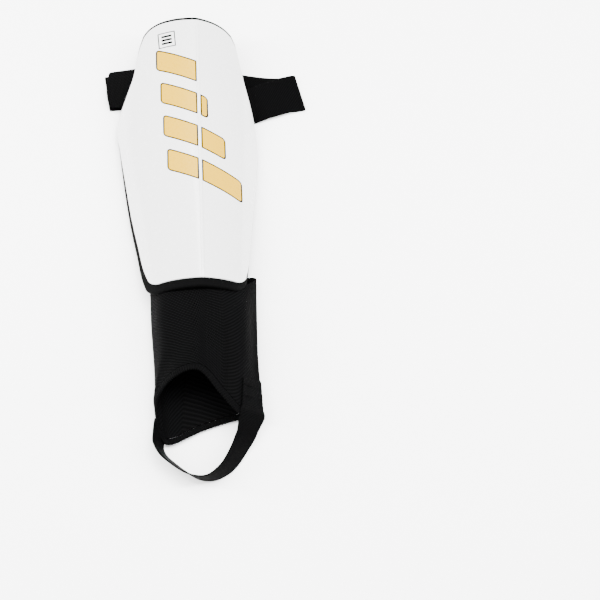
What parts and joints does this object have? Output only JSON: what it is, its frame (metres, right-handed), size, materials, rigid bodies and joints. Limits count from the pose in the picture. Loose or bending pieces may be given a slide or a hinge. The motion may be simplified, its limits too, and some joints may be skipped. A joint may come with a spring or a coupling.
{
  "type": "shin guard",
  "caption": "Hard-shell shin guard on a foam pad, with an elastic calf strap, a knitted ankle sleeve and an under-foot stirrup.",
  "frame": {"origin": "centre of the bounding box, at the height of the surface that the guard lies on", "axes": "+Y up the shin towards the knee, +Z out of the shell's front, +X towards the inner side of the leg; the guard lies on its back"},
  "size_m": [0.177, 0.4056, 0.0483],
  "materials": {
    "shell_white": "glossy",
    "ink_dark": "satin",
    "ink_yellow": "glossy",
    "foam": "matte",
    "liner": "matte",
    "knit": "matte",
    "edging": "matte",
    "webbing": "matte",
    "hook_tape": "matte",
    "loop_pile": "matte",
    "thread": "matte"
  },
  "bodies": {
    "guard": {"shell": "shell_white", "graphic_outline": "ink_dark", "graphic_fill": "ink_yellow", "size_badge": "ink_dark", "foam_pad": "foam", "liner": "liner", "sleeve_cuff": "knit", "sleeve_stitches": "thread", "calf_strap_sewn_end": "webbing", "strap_stitches": "thread", "closure_tab_base": "webbing", "closure_tab_stitches": "thread"},
    "calf_strap_run": {"calf_strap": "webbing", "hook_patch": "hook_tape", "hook_patch_stitches": "thread"},
    "tab": {"closure_tab": "webbing", "loop_patch": "loop_pile"},
    "ankle": {"ankle_sleeve": "knit", "sleeve_top_hem": "knit", "ankle_edging": "edging", "overlock_thread": "thread", "stirrup_end_medial": "webbing", "stirrup_end_lateral": "webbing", "stirrup_stitches_medial": "thread", "stirrup_stitches_lateral": "thread"},
    "stirrup": {"stirrup_strap": "webbing"}
  },
  "joints": [
    {"name": "sleeve_fold", "type": "hinge", "parent": "guard", "child": "ankle", "pos_m": [-0.00601, -0.05282, 0.03943], "axis": [1, 0, 0], "range_deg": [-100, 4]},
    {"name": "stirrup_swing", "type": "hinge", "parent": "ankle", "child": "stirrup", "pos_m": [0.02869, -0.15507, 0.01725], "axis": [0.9682, 0.2293, 0.0997], "range_deg": [-45, 6]},
    {"name": "strap_open", "type": "hinge", "parent": "guard", "child": "calf_strap_run", "pos_m": [0.08749, 0.13269, 0.0016], "axis": [0.2228, -0.9749, 0], "range_deg": [0, 175]},
    {"name": "tab_flap", "type": "hinge", "parent": "guard", "child": "tab", "pos_m": [-0.06592, 0.1333, 0.01029], "axis": [0.2661, 0.9252, 0.2704], "range_deg": [0, 25]}
  ]
}
